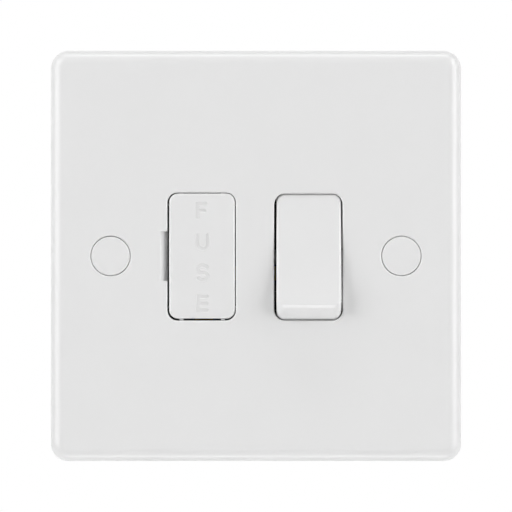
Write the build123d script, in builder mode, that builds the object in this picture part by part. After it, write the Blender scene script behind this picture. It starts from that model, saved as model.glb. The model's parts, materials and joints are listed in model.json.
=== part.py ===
from build123d import *
from math import acos, cos, hypot, radians, sin, sqrt
import os

os.makedirs("parts", exist_ok=True)

# Driving dimensions, in millimetres and degrees
# X runs to the right, Y into the wall, Z up; the wall plane is y = 0

# Front plate
plate_size = 85.6
plate_depth = 9.0
plate_corner_r = 3.8
plate_edge_r = 2.8
plate_draft = 1.0
plate_wall = 2.4
plate_rim = 2.2
plate_rib_t = 1.2
plate_rib_inset = 2.0
plate_rib_x = 16.0
plate_rib_z = 18.0
edge_break = 0.35

# Fixing holes and the covers over them
fixing_pitch = 60.3
fixing_hole_d = 4.4
fixing_boss_d = 9.8
cap_recess_d = 8.25
cap_recess_depth = 4.2
cap_gap = 0.1
cap_disc = 1.2
cap_skirt_wall = 0.45
cap_slit = 1.0
cap_edge_r = 0.2

# Openings in the plate
fuse_x = -11.18
switch_x = 10.96
switch_low = 0.22
aperture_w = 14.2
rocker_opening_h = 25.85
aperture_r = 2.1
notch_w = 1.5
notch_h = 10.3
notch_depth = 1.8
opening_left = 0.1
opening_low = 0.13

# Cartridge fuse
fuse_length = 25.4
fuse_d = 6.35
fuse_body_d = 5.9
fuse_cap_length = 5.6
fuse_cap_end = 0.4
fuse_edge_r = 0.3

# Fuse carrier
carrier_end_room = 0.3
carrier_gap = 0.25
carrier_face = 2.6
carrier_edge_r = 0.5
carrier_lug_room = 4.0
cheek_half = 6.0
cheek_wall = 1.5
cheek_gap = 0.1
cheek_lip = 0.8
leg_depth = 2.4
barb_reach = 0.8
barb_length = 1.5
guide_rib_x = 4.3
guide_rib_w = 0.8
guide_rib_drop = 0.6
guide_rib_play = 0.05
pry_lip = 1.7
pry_depth = 1.0

# Fuse clips and folded brass strips
clip_t = 0.7
clip_w = 4.4
clip_gap = 0.05
clip_flare = 0.45
clip_flare_length = 1.2
clip_leg_gap = 0.3
clip_bend_r = 0.6
strip_t = 0.8
strip_w = 4.0
strip_bend_r = 0.5
strip_tab = 6.5
link_w = 3.0
link_drop = 3.7
rivet_d = 2.0
rivet_head_d = 3.4
rivet_head = 0.5

# Rocker
pivot_depth = 7.0
rocker_tilt = 9.75
rocker_sink = 0.3
rocker_dish = 0.8
rocker_side_gap = 0.39
rocker_end_gap = 0.25
rocker_corner_r = 1.7
rocker_edge_r = 0.6
rocker_face = 1.8
rocker_side_wall = 1.4
rocker_end_wall = 1.5
rocker_skirt_angle = 84.0
cheek_drop = 2.5
cheek_foot = 3.2
cheek_shoulder = 9.5
pin_d = 3.0
pin_reach = 1.5
pin_play = 0.05
flash_from = 56.0
flash_to = 66.0
flash_w = 9.0
flash_t = 0.5

# Plungers, springs and contact bars
plunger_reach = 6.5
plunger_tip_r = 1.3
plunger_d = 3.3
plunger_head = 5.1
plunger_play = 0.1
socket_wall = 0.8
socket_reach = 3.6
spring_wire = 0.4
spring_d = 2.4
spring_turns = 5
spring_play = 0.15
bar_tilt = 9.0
bar_t = 1.2
bar_side_gap = 0.5
bar_half = 9.5
bar_inset = 0.25
bar_play = 0.05
bar_gap = 0.3
tip_d = 2.8
tip_t = 0.6
tip_u = 8.2
tip_dome_r = 5.0
tip_draft = 8.0
contact_gap = 0.1
stop_w = 1.1
stop_length = 2.0

# Rear housing
housing_depth = 18.5
back_wall = 2.7
end_wall = 2.4
chamber_gap = 0.1
chamber_wall = 1.2
swing_gap = 0.25
stop_gap = 0.15
pole_half_h = 11.3
barrier = 1.2
core_wall = 1.5
core_r = 0.8
channel_gap = 0.15
groove_gap = 0.2
housing_corner_r = 3.4
housing_back_r = 0.8
waist_gap = 1.8
waist_half_h = 9.0
collar_gap = 0.15
collar_wall = 1.1
collar_height = 3.0

# Terminals
terminal_w = 6.6
terminal_gap = 2.6
terminal_length = 8.0
terminal_depth = 9.4
terminal_bevel = 0.4
terminal_floor = 1.5
conductor_d = 4.6
entry_room = 0.4
entry_bevel = 0.6
pocket_gap = 0.1
screw_d = 3.5
screw_play = 0.03
screw_length = 3.3
screw_lift = 0.4
screw_head_d = 6.2
screw_head = 2.0
screw_slot = 0.9
screw_slot_depth = 1.0
well_gap = 0.3
strap_w = 2.6
strap_t = 1.0
strap_gap = 0.2
strap_side = 0.6
strap_arm = 4.0

# Posts and the screws that hold the two mouldings together
post_d = 5.0
post_play = 0.1
post_bore_d = 2.6
post_length = 14.6
post_wall = 0.6
post_inset = 4.0
hold_post = 3.6
hold_gap = 0.1
fastener_d = 2.5
fastener_length = 11.0
fastener_head_d = 5.2
fastener_head = 1.8
fastener_sink = 2.6
fastener_hole_d = 3.0
fastener_well_d = 5.8
cross_w = 0.7
cross_l = 2.8
cross_depth = 1.0

# Levels along Y
face_y = -plate_depth
inner_y = face_y + plate_wall
back_y = housing_depth
floor_y = back_y - back_wall
post_end = inner_y + post_length

# Openings and moving pieces that fill them
fuse_r = fuse_d / 2
fuse_half = fuse_length / 2
carrier_w = aperture_w - 2 * carrier_gap
carrier_h = fuse_length + 2 * carrier_end_room
aperture_h = carrier_h + 2 * carrier_gap
carrier_back_y = face_y + carrier_face
fuse_y = carrier_back_y + carrier_lug_room + fuse_r
clip_z = fuse_half - fuse_cap_length / 2
clip_inner = fuse_r + clip_gap
clip_outer = clip_inner + clip_t + clip_flare
clip_tip_y = fuse_y - fuse_r
leg_inner = clip_outer + clip_leg_gap
carrier_travel = fuse_r + fuse_y - face_y
barb_y = inner_y + carrier_travel
leg_end_y = barb_y + barb_length

# Rocker, worked out from the arc that its end walls sweep
rocker_half_w = aperture_w / 2 - rocker_side_gap
rocker_r = hypot(rocker_opening_h / 2 - rocker_end_gap, pivot_depth)
tilt = radians(rocker_tilt)
face_angle = acos((pivot_depth - rocker_sink) / rocker_r) - tilt
skirt_angle = radians(rocker_skirt_angle)
pivot_y = face_y + pivot_depth
switch_z = -switch_low
pivot = Vector(switch_x, pivot_y, switch_z)
rocker_in = Vector(0, cos(tilt), -sin(tilt))
rocker_side = Plane(origin=pivot, x_dir=rocker_in, z_dir=(1, 0, 0))
rim_x = -rocker_r * cos(face_angle)
skirt_x = -rocker_r * cos(skirt_angle)
ceiling_x = rim_x + rocker_dish + rocker_face
chamber_w = aperture_w + 2 * chamber_gap
pole_channel_w = chamber_w / 2 - barrier / 2
pole_offset = (barrier + pole_channel_w) / 2
pole_xs = (switch_x - pole_offset, switch_x + pole_offset)
blade_top = switch_z + strip_t / 2

# Contact bars, placed so that the plungers clear them at both ends of the swing
lean = radians(bar_tilt)
bar_w = pole_channel_w - 2 * bar_side_gap
bar_front = bar_inset + bar_t
fulcrum_reach = (bar_front + plunger_tip_r + bar_gap + plunger_reach * cos(tilt + lean)) / cos(lean)
fulcrum_y = pivot_y + fulcrum_reach
bar_in = Vector(0, cos(lean), sin(lean))
dome_w = tip_t - bar_inset - tip_dome_r
made_y = fulcrum_y + tip_u * sin(lean) + dome_w * cos(lean) + tip_dome_r
pad_y = made_y + contact_gap + tip_t
pad_z = switch_z + tip_u * cos(lean) - dome_w * sin(lean)
bar_stop_y = fulcrum_y + bar_half * sin(lean) - bar_inset * cos(lean) + contact_gap

# Rear housing, from the inside outwards
fuse_chamber_h = aperture_h + 2 * (chamber_gap + opening_low)
swing_half = rocker_r + swing_gap
swing_stop_y = pivot_y - rocker_r * cos(skirt_angle + tilt) + stop_gap
socket_floor_y = pivot_y + socket_reach * cos(tilt) + plunger_d * sin(tilt) + swing_gap
pocket_z = switch_low + swing_half + chamber_wall
block_z = pocket_z + strip_t
block_mid = block_z + terminal_length / 2
pocket_end = block_z + terminal_length + pocket_gap
half_h = pocket_end + end_wall
block_y = floor_y - terminal_depth
bore_r = conductor_d / 2
bore_y = block_y + terminal_floor + bore_r
terminal_pitch = terminal_w + terminal_gap
live_x = switch_x - terminal_pitch / 2
neutral_x = switch_x + terminal_pitch / 2
earth_low_x = (fuse_x + neutral_x) / 2
post_r = post_d / 2
socket_r = post_r + post_play
post_x = neutral_x + terminal_w / 2 + pocket_gap + post_wall + socket_r
half_w = post_x + post_inset
post_z = half_h - post_inset
waist_x = fixing_pitch / 2 - fixing_boss_d / 2 - waist_gap
web_left = fuse_x + chamber_w / 2
web_right = switch_x - chamber_w / 2
strap_left = web_left + strap_side + strap_gap
strap_x = strap_left + strap_w / 2
strap_y = block_y - strap_t
link_z = -link_drop

terminals = {
    "supply_live_terminal": (fuse_x, -1),
    "supply_earth_terminal": (earth_low_x, -1),
    "supply_neutral_terminal": (neutral_x, -1),
    "load_earth_terminal": (fuse_x, 1),
    "load_live_terminal": (live_x, 1),
    "load_neutral_terminal": (neutral_x, 1),
}
terminal_points = [(x, side * block_mid) for x, side in terminals.values()]
post_points = [(x, z) for x in (-post_x, post_x) for z in (-post_z, post_z)]


def level(y):
    """A plane parallel to the wall, drawn as seen from the front; it extrudes towards the front."""
    return Plane(origin=(0, y, 0), x_dir=(1, 0, 0), z_dir=(0, -1, 0))


def across(x):
    """A plane square to X: first coordinate into the wall, second up."""
    return Plane(origin=(x, 0, 0), x_dir=(0, 1, 0), z_dir=(1, 0, 0))


def flat(z):
    """A level plane seen from above: first coordinate X, second into the wall."""
    return Plane(origin=(0, 0, z), x_dir=(1, 0, 0), z_dir=(0, 0, 1))


def rocker_level(depth):
    """A plane square to the rocker's own depth, which tilts with it."""
    return Plane(origin=pivot + rocker_in * depth, x_dir=(1, 0, 0), z_dir=rocker_in)


def rim(radius, angle):
    """A point on an arc about the rocker's pivot, in its side view."""
    return (-radius * cos(angle), radius * sin(angle))


def box(x0, x1, z0, z1):
    """A rectangle between four limits, on a plane parallel to the wall."""
    with Locations(((x0 + x1) / 2, (z0 + z1) / 2)):
        Rectangle(abs(x1 - x0), abs(z1 - z0))


def housing_outline(grow, mode=Mode.ADD):
    """The rear housing's outline, with a waist each side for the lugs of the wall box."""
    with BuildSketch(mode=Mode.PRIVATE) as outline:
        RectangleRounded(2 * (half_w + grow), 2 * (half_h + grow), housing_corner_r + grow)
        with Locations((waist_x + grow + half_w, 0), (-waist_x - grow - half_w, 0)):
            Rectangle(2 * half_w, 2 * (waist_half_h - grow), mode=Mode.SUBTRACT)
    add(outline.sketch, mode=mode)


def save(piece, name):
    """Names a piece and writes it."""
    piece.label = name
    export_step(piece, f"parts/{name}.step")


# Space that the rocker's end walls sweep through, with a clearance all round
sweep_r = hypot(rocker_opening_h / 2, pivot_depth)
sweep_front = -plate_depth
sweep_top = sqrt(sweep_r**2 - sweep_front**2)
with BuildPart() as rocker_sweep:
    sweep_centre = pivot - Vector(opening_left, 0, 0)
    with BuildSketch(Plane(origin=sweep_centre, x_dir=(0, 1, 0), z_dir=(1, 0, 0))):
        with BuildLine():
            Line((sweep_front, -sweep_top), (sweep_front, sweep_top))
            for side in (-1, 1):
                ThreePointArc(
                    (sweep_front, side * sweep_top),
                    rim(sweep_r, side * radians(rocker_skirt_angle - rocker_tilt)),
                    (0, side * sweep_r),
                )
            Line((0, -sweep_r), (0, sweep_r))
        make_face()
    extrude(amount=aperture_w / 2, both=True)
    sweep_edges = rocker_sweep.edges().filter_by(GeomType.CIRCLE)
    fillet(sweep_edges, aperture_r)

# Front plate: tapered square shell with rounded edges
with BuildPart() as front_plate:
    with BuildSketch(level(0)):
        RectangleRounded(plate_size, plate_size, plate_corner_r)
    extrude(amount=plate_depth, taper=plate_draft)
    fillet(front_plate.faces().sort_by(Axis.Y)[0].edges(), plate_edge_r)
    with BuildSketch(level(0)):
        hollow = plate_size - 2 * plate_rim
        RectangleRounded(hollow, hollow, plate_corner_r / 2)
    extrude(amount=plate_depth - plate_wall, taper=plate_draft, mode=Mode.SUBTRACT)

    # Bosses behind the fixing holes reach the wall plane
    with BuildSketch(level(0)):
        with Locations((fixing_pitch / 2, 0), (-fixing_pitch / 2, 0)):
            Circle(fixing_boss_d / 2)
    extrude(amount=plate_depth - plate_wall)

    # Collar that locates the rear housing
    with BuildSketch(level(inner_y + collar_height)):
        housing_outline(collar_gap + collar_wall)
    extrude(amount=collar_height)
    with BuildSketch(level(inner_y + collar_height)):
        housing_outline(collar_gap)
    extrude(amount=collar_height, mode=Mode.SUBTRACT)

    # Stiffening ribs between the rim, the collar and the bosses
    with BuildSketch(level(-plate_rib_inset)):
        with Locations((0, plate_rib_z), (0, -plate_rib_z), (0, 0)):
            Rectangle(hollow, plate_rib_t)
        with Locations((plate_rib_x, 0), (-plate_rib_x, 0)):
            Rectangle(plate_rib_t, hollow)
        housing_outline(collar_gap + collar_wall, Mode.SUBTRACT)
    extrude(amount=-plate_rib_inset - inner_y)

    # Posts for the assembly screws
    with BuildSketch(level(post_end)):
        with Locations(*post_points):
            Circle(post_r)
            Circle(post_bore_d / 2, mode=Mode.SUBTRACT)
    extrude(amount=post_end - inner_y)

    # Posts that hold the terminals and the earth strap down
    for name, (x, side) in terminals.items():
        seat_y = strap_y if "earth" in name else block_y
        with BuildSketch(level(seat_y - hold_gap)):
            with Locations((x, side * block_mid)):
                Rectangle(hold_post, hold_post)
        extrude(amount=seat_y - hold_gap - inner_y)

    # Ribs that close the bearings over the rocker's pins
    with BuildSketch(level(pivot_y - pin_d / 2 - pin_play)):
        for side in (-1, 1):
            bearing_x = switch_x + side * (chamber_w / 2 + (pin_reach - pin_play) / 2)
            with Locations((bearing_x, switch_z)):
                Rectangle(pin_reach - rocker_side_gap - chamber_gap, pin_d - 2 * pin_play)
    extrude(amount=pivot_y - pin_d / 2 - pin_play - inner_y)

    # Opening for the fuse carrier
    with BuildSketch(level(inner_y)):
        with Locations((fuse_x - opening_left, -opening_low)):
            RectangleRounded(aperture_w, aperture_h, aperture_r)
    extrude(amount=plate_wall, mode=Mode.SUBTRACT)

    # Opening for the rocker, undercut along the sweep of its end walls
    add(rocker_sweep.part, mode=Mode.SUBTRACT)

    # Stepped fixing holes
    with BuildSketch(level(0)):
        with Locations((fixing_pitch / 2, 0), (-fixing_pitch / 2, 0)):
            Circle(fixing_hole_d / 2)
    extrude(amount=plate_depth, mode=Mode.SUBTRACT)
    with BuildSketch(level(face_y + cap_recess_depth)):
        with Locations((fixing_pitch / 2, 0), (-fixing_pitch / 2, 0)):
            Circle(cap_recess_d / 2)
    extrude(amount=cap_recess_depth, mode=Mode.SUBTRACT)
    front_face = front_plate.faces().sort_by(Axis.Y)[0]
    fillet(ShapeList(edge for wire in front_face.inner_wires() for edge in wire.edges()), edge_break)

    # Pry notch: a ramp that falls towards the fuse carrier
    notch_x = fuse_x - opening_left - aperture_w / 2
    with BuildSketch(flat(-notch_h / 2)):
        with BuildLine():
            Polyline(
                (notch_x - notch_w, face_y),
                (notch_x - notch_w, face_y - edge_break),
                (notch_x + edge_break, face_y - edge_break),
                (notch_x + edge_break, face_y + notch_depth),
                (notch_x, face_y + notch_depth),
                close=True,
            )
        make_face()
    extrude(amount=notch_h, mode=Mode.SUBTRACT)
save(front_plate.part, "front_plate")


# Covers over the fixing holes: a disc on a slit skirt
def screw_cap(x):
    cap_r = cap_recess_d / 2 - cap_gap
    skirt = cap_recess_depth - cap_disc - cap_gap
    with BuildPart() as cap:
        with BuildSketch(level(face_y + cap_disc)):
            with Locations((x, 0)):
                Circle(cap_r)
        extrude(amount=cap_disc)
        fillet(cap.faces().sort_by(Axis.Y)[0].edges(), cap_edge_r)
        with BuildSketch(level(face_y + cap_disc + skirt)):
            with Locations((x, 0)):
                Circle(cap_r)
                Circle(cap_r - cap_skirt_wall, mode=Mode.SUBTRACT)
                Rectangle(cap_slit, 2 * cap_r, mode=Mode.SUBTRACT)
                Rectangle(2 * cap_r, cap_slit, mode=Mode.SUBTRACT)
        extrude(amount=skirt)
    return cap.part


save(screw_cap(-fixing_pitch / 2), "screw_cap_left")
save(screw_cap(fixing_pitch / 2), "screw_cap_right")

# Fuse carrier: face, cheeks that hold the fuse, four runner legs with stop barbs
with BuildPart() as fuse_carrier:
    with BuildSketch(level(carrier_back_y)):
        with Locations((fuse_x, 0)):
            RectangleRounded(carrier_w, carrier_h, aperture_r - carrier_gap)
    extrude(amount=carrier_face)
    fillet(fuse_carrier.faces().sort_by(Axis.Y)[0].edges(), carrier_edge_r)
    with BuildSketch(level(carrier_back_y)):
        rib_reach = aperture_h / 2 - guide_rib_play
        for rib_x in (fuse_x - guide_rib_x, fuse_x + guide_rib_x):
            with Locations((rib_x, -opening_low)):
                Rectangle(guide_rib_w, 2 * rib_reach)
    extrude(amount=carrier_face - guide_rib_drop)

    # Cheeks with a lip behind the fuse
    cheek_in = fuse_body_d / 2 + cheek_gap
    lip_y = fuse_y + fuse_body_d / 2 - cheek_lip + cheek_gap
    with BuildSketch(flat(-cheek_half)):
        for side in (-1, 1):
            with BuildLine():
                Polyline(
                    (fuse_x + side * cheek_in, carrier_back_y),
                    (fuse_x + side * cheek_in, lip_y),
                    (fuse_x + side * (cheek_in - cheek_lip), lip_y + cheek_lip),
                    (fuse_x + side * cheek_in, lip_y + 2 * cheek_lip),
                    (fuse_x + side * (cheek_in + cheek_wall), lip_y + 2 * cheek_lip),
                    (fuse_x + side * (cheek_in + cheek_wall), carrier_back_y),
                    close=True,
                )
            make_face()
    extrude(amount=2 * cheek_half)

    # Runner legs keep to the corners of the face, clear of the clips
    with BuildSketch(level(leg_end_y)):
        with Locations((fuse_x, 0)):
            RectangleRounded(carrier_w, carrier_h, aperture_r - carrier_gap)
            Rectangle(2 * leg_inner, carrier_h, mode=Mode.SUBTRACT)
            Rectangle(carrier_w, carrier_h - 2 * leg_depth, mode=Mode.SUBTRACT)
    extrude(amount=leg_end_y - carrier_back_y)
    barb_z = carrier_h / 2 - leg_depth
    barb_w = leg_depth - aperture_r + carrier_gap
    with BuildSketch(level(leg_end_y)):
        for side in (-1, 1):
            for end in (-1, 1):
                box(
                    fuse_x + side * leg_inner,
                    fuse_x + side * (carrier_w / 2 + barb_reach),
                    end * barb_z,
                    end * (barb_z + barb_w),
                )
    extrude(amount=barb_length)

    # Undercut that the screwdriver blade lifts against
    with BuildSketch(level(carrier_back_y)):
        carrier_left = fuse_x - carrier_w / 2
        box(carrier_left, carrier_left + pry_depth, -notch_h / 2, notch_h / 2)
    extrude(amount=carrier_face - pry_lip, mode=Mode.SUBTRACT)
save(fuse_carrier.part, "fuse_carrier")

# Cartridge fuse: ceramic body between two plated caps
body_half = fuse_half - fuse_cap_end
with BuildPart() as fuse_body:
    with BuildSketch(flat(-body_half)):
        with Locations((fuse_x, fuse_y)):
            Circle(fuse_body_d / 2)
    extrude(amount=2 * body_half)
save(fuse_body.part, "fuse_body")


def fuse_cap(side):
    with BuildPart() as cap:
        with BuildSketch(flat(side * fuse_half)):
            with Locations((fuse_x, fuse_y)):
                Circle(fuse_r)
        extrude(amount=-side * fuse_cap_length)
        fillet(cap.faces().sort_by(Axis.Z)[-1 if side > 0 else 0].edges(), fuse_edge_r)
        with BuildSketch(flat(side * body_half)):
            with Locations((fuse_x, fuse_y)):
                Circle(fuse_body_d / 2)
        extrude(amount=-side * fuse_cap_length, mode=Mode.SUBTRACT)
    return cap.part


save(fuse_cap(1), "fuse_cap_upper")
save(fuse_cap(-1), "fuse_cap_lower")

# Fuse clips: U pressings with flared lips, on the strips
clip_base_y = floor_y - strip_t


def fuse_clip(side):
    waist_y = clip_tip_y + clip_flare_length
    with BuildPart() as clip:
        with BuildSketch(flat(side * clip_z - clip_w / 2)):
            with BuildLine():
                path = FilletPolyline(
                    (fuse_x - clip_inner - clip_flare, clip_tip_y),
                    (fuse_x - clip_inner, waist_y),
                    (fuse_x - clip_inner, clip_base_y - clip_t),
                    (fuse_x + clip_inner, clip_base_y - clip_t),
                    (fuse_x + clip_inner, waist_y),
                    (fuse_x + clip_inner + clip_flare, clip_tip_y),
                    radius=clip_bend_r,
                )
                offset(path, amount=clip_t, side=Side.LEFT)
            make_face()
        extrude(amount=clip_w)
        with BuildSketch(level(clip_base_y)):
            with Locations((fuse_x, side * clip_z)):
                Circle(rivet_d / 2)
        extrude(amount=clip_t, mode=Mode.SUBTRACT)
    return clip.part


save(fuse_clip(1), "fuse_clip_upper")
save(fuse_clip(-1), "fuse_clip_lower")

# Rivets that join the clips to the strips
rivet_points = [(fuse_x, clip_z), (fuse_x, -clip_z)]
with BuildPart() as clip_rivets:
    with BuildSketch(level(floor_y)):
        with Locations(*rivet_points):
            Circle(rivet_d / 2)
    extrude(amount=strip_t + clip_t)
    with BuildSketch(level(clip_base_y - clip_t)):
        with Locations(*rivet_points):
            Circle(rivet_head_d / 2)
    extrude(amount=rivet_head)
save(clip_rivets.part, "clip_rivets")


# Folded brass strips on the housing floor
def terminal_tab(x, side):
    """The upturned end of a strip, flat against the inner side of a terminal."""
    with BuildSketch(level(floor_y)) as outline:
        box(x - strip_w / 2, x + strip_w / 2, side * pocket_z, side * block_z)
    extrude(outline.sketch, amount=strip_tab)


def fulcrum_blade(x):
    """The upturned blade with a rounded edge that a contact bar rocks on."""
    with BuildSketch(across(x - strip_w / 2)) as outline:
        with Locations((fulcrum_y, switch_z)):
            Circle(strip_t / 2)
        with Locations(((fulcrum_y + floor_y) / 2, switch_z)):
            Rectangle(floor_y - fulcrum_y, strip_t)
    extrude(outline.sketch, amount=strip_w)


with BuildPart() as supply_live_strip:
    with BuildSketch(level(floor_y)):
        box(fuse_x - strip_w / 2, fuse_x + strip_w / 2, -clip_z + clip_w / 2, -block_z)
        with Locations((fuse_x, -clip_z)):
            Circle(rivet_d / 2, mode=Mode.SUBTRACT)
    extrude(amount=strip_t)
    terminal_tab(fuse_x, -1)
save(supply_live_strip.part, "supply_live_strip")

with BuildPart() as live_link_strip:
    with BuildSketch(level(floor_y)):
        link_bottom = link_z - link_w / 2
        box(fuse_x - strip_w / 2, fuse_x + strip_w / 2, link_bottom, clip_z + clip_w / 2)
        box(fuse_x - strip_w / 2, pole_xs[0] + strip_w / 2, link_bottom, link_bottom + link_w)
        box(pole_xs[0] - strip_w / 2, pole_xs[0] + strip_w / 2, link_bottom, blade_top)
        with Locations((fuse_x, clip_z)):
            Circle(rivet_d / 2, mode=Mode.SUBTRACT)
    extrude(amount=strip_t)
    fulcrum_blade(pole_xs[0])
save(live_link_strip.part, "live_link_strip")

with BuildPart() as supply_neutral_strip:
    with BuildSketch(level(floor_y)):
        box(pole_xs[1] - strip_w / 2, pole_xs[1] + strip_w / 2, blade_top, -block_z)
    extrude(amount=strip_t)
    fulcrum_blade(pole_xs[1])
    terminal_tab(pole_xs[1], -1)
save(supply_neutral_strip.part, "supply_neutral_strip")


def load_strip(x):
    pad_end = pad_z - tip_d / 2 - strip_t / 2
    upright = pad_z + tip_d / 2 + strip_t
    with BuildPart() as strip:
        with BuildSketch(across(x - strip_w / 2)):
            with BuildLine():
                path = FilletPolyline(
                    (pad_y, pad_end),
                    (pad_y, upright),
                    (floor_y - strip_t, upright),
                    (floor_y - strip_t, block_z),
                    radius=strip_bend_r,
                )
                offset(path, amount=strip_t, side=Side.RIGHT)
            make_face()
        extrude(amount=strip_w)
        terminal_tab(x, 1)
    return strip.part


save(load_strip(pole_xs[0]), "load_live_strip")
save(load_strip(pole_xs[1]), "load_neutral_strip")

# Silver tips on the two load strips
with BuildPart() as fixed_contact_tips:
    with BuildSketch(level(pad_y)):
        with Locations(*[(x, pad_z) for x in pole_xs]):
            Circle(tip_d / 2)
    extrude(amount=tip_t, taper=tip_draft)
save(fixed_contact_tips.part, "fixed_contact_tips")

# Rocker: dished face between two end walls that sweep past the plate
with BuildPart() as rocker:
    with BuildSketch(rocker_side):
        with BuildLine():
            ThreePointArc(rim(rocker_r, -face_angle), (rim_x + rocker_dish, 0), rim(rocker_r, face_angle))
            for side in (-1, 1):
                ThreePointArc(
                    rim(rocker_r, side * face_angle),
                    rim(rocker_r, side * (face_angle + skirt_angle) / 2),
                    rim(rocker_r, side * skirt_angle),
                )
                Polyline(
                    rim(rocker_r, side * skirt_angle),
                    (skirt_x, side * cheek_shoulder),
                    (cheek_drop, side * cheek_foot),
                    (cheek_drop, 0),
                )
        make_face()
    extrude(amount=rocker_half_w, both=True)
    sweeps = rocker.edges().filter_by(GeomType.CIRCLE)
    fillet(sweeps.filter_by(lambda edge: abs(edge.radius - rocker_r) < edge_break), rocker_corner_r)
    face = rocker.faces().sort_by(lambda item: (item.center() - pivot).dot(rocker_in))[0]
    fillet(face.edges(), rocker_edge_r)

    # Hollow behind the face
    inner_r = rocker_r - rocker_end_wall
    inner_angle = acos(-ceiling_x / inner_r)
    with BuildSketch(rocker_side):
        with BuildLine():
            for side in (-1, 1):
                ThreePointArc(
                    rim(inner_r, side * inner_angle),
                    rim(inner_r, side * (inner_angle + skirt_angle) / 2),
                    rim(inner_r, side * skirt_angle),
                )
                Polyline(
                    rim(inner_r, side * skirt_angle),
                    (socket_reach, side * inner_r * sin(skirt_angle)),
                    (socket_reach, 0),
                )
            Line(rim(inner_r, -inner_angle), rim(inner_r, inner_angle))
        make_face()
    extrude(amount=rocker_half_w - rocker_side_wall, both=True, mode=Mode.SUBTRACT)

    # Plunger sockets
    bore_end = socket_reach - ceiling_x
    with BuildSketch(rocker_level(socket_reach)):
        with Locations((-pole_offset, 0), (pole_offset, 0)):
            Circle(plunger_d / 2 + plunger_play + socket_wall)
    extrude(amount=-bore_end)
    with BuildSketch(rocker_level(socket_reach)):
        with Locations((-pole_offset, 0), (pole_offset, 0)):
            Circle(plunger_d / 2 + plunger_play)
    extrude(amount=-bore_end, mode=Mode.SUBTRACT)

    # Pivot pins
    for side in (-1, 1):
        pin_start = pivot + Vector(side * rocker_half_w, 0, 0)
        with BuildSketch(Plane(origin=pin_start, x_dir=(0, 1, 0), z_dir=(side, 0, 0))):
            Circle(pin_d / 2)
        extrude(amount=pin_reach)

    # Seat of the coloured flash in the upper end wall
    flash_angles = [radians(flash_from), radians((flash_from + flash_to) / 2), radians(flash_to)]
    with BuildSketch(rocker_side) as flash_outline:
        with BuildLine():
            ThreePointArc(*[rim(rocker_r, angle) for angle in flash_angles])
            ThreePointArc(*[rim(rocker_r - flash_t, angle) for angle in flash_angles])
            for angle in (flash_angles[0], flash_angles[2]):
                Line(rim(rocker_r, angle), rim(rocker_r - flash_t, angle))
        make_face()
    extrude(amount=flash_w / 2, both=True, mode=Mode.SUBTRACT)
save(rocker.part, "rocker")

# Coloured flash, flush with the end wall
with BuildPart() as on_flash:
    extrude(flash_outline.sketch, amount=flash_w / 2, both=True)
save(on_flash.part, "on_flash")


# Plungers: guided head and a rounded tip
def plunger(x):
    start = plunger_reach - plunger_head - plunger_tip_r
    shoulder = plunger_reach - plunger_tip_r
    with BuildPart() as piece:
        with BuildSketch(Plane(origin=(x, pivot_y, switch_z), x_dir=rocker_in, z_dir=(1, 0, 0))):
            with BuildLine():
                Polyline(
                    (start, 0),
                    (start, plunger_d / 2),
                    (shoulder, plunger_d / 2),
                    (plunger_reach, plunger_tip_r),
                )
                RadiusArc((plunger_reach, plunger_tip_r), (plunger_reach + plunger_tip_r, 0), plunger_tip_r)
                Line((plunger_reach + plunger_tip_r, 0), (start, 0))
            make_face()
        revolve(axis=Axis((x, pivot_y, switch_z), rocker_in))
    return piece.part


# Springs between the bottom of each socket and its plunger
def spring(x):
    spring_from = ceiling_x + spring_wire / 2 + spring_play
    spring_to = plunger_reach - plunger_head - plunger_tip_r - spring_wire / 2 - spring_play
    length = spring_to - spring_from
    start = Vector(x, pivot_y, switch_z) + rocker_in * spring_from
    with BuildPart() as coil:
        with BuildLine() as path:
            Helix(
                pitch=length / spring_turns,
                height=length,
                radius=(spring_d - spring_wire) / 2,
                center=start,
                direction=rocker_in,
            )
        with BuildSketch(Plane(origin=path.line @ 0, z_dir=path.line % 0)):
            Circle(spring_wire / 2)
        sweep(is_frenet=True)
    return coil.part


# Contact bars rock on the blades; a domed silver tip sits at the upper end
def contact_bar(x):
    with BuildPart() as bar:
        with BuildSketch(Plane(origin=(x - bar_w / 2, fulcrum_y, switch_z), x_dir=bar_in, z_dir=(1, 0, 0))):
            with Locations((-bar_inset - bar_t / 2, 0)):
                Rectangle(bar_t, 2 * bar_half)
            Circle(strip_t / 2 + bar_play, mode=Mode.SUBTRACT)
        extrude(amount=bar_w)
    return bar.part


def bar_tip(x):
    bar_up = bar_in.cross(Vector(-1, 0, 0))
    seat = Vector(x, fulcrum_y, switch_z) + bar_up * tip_u - bar_in * bar_inset
    shoulder = tip_t - tip_dome_r + sqrt(tip_dome_r**2 - (tip_d / 2) ** 2)
    with BuildPart() as tip:
        with BuildSketch(Plane(origin=seat, x_dir=bar_in, z_dir=(1, 0, 0))):
            with BuildLine():
                Polyline((tip_t, 0), (0, 0), (0, tip_d / 2), (shoulder, tip_d / 2))
                RadiusArc((shoulder, tip_d / 2), (tip_t, 0), tip_dome_r)
            make_face()
        revolve(axis=Axis(seat, bar_in))
    return tip.part


for pole, x in zip(("live", "neutral"), pole_xs):
    save(plunger(x), f"{pole}_plunger")
    save(spring(x), f"{pole}_spring")
    save(contact_bar(x), f"{pole}_contact_bar")
    save(bar_tip(x), f"{pole}_bar_tip")


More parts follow.
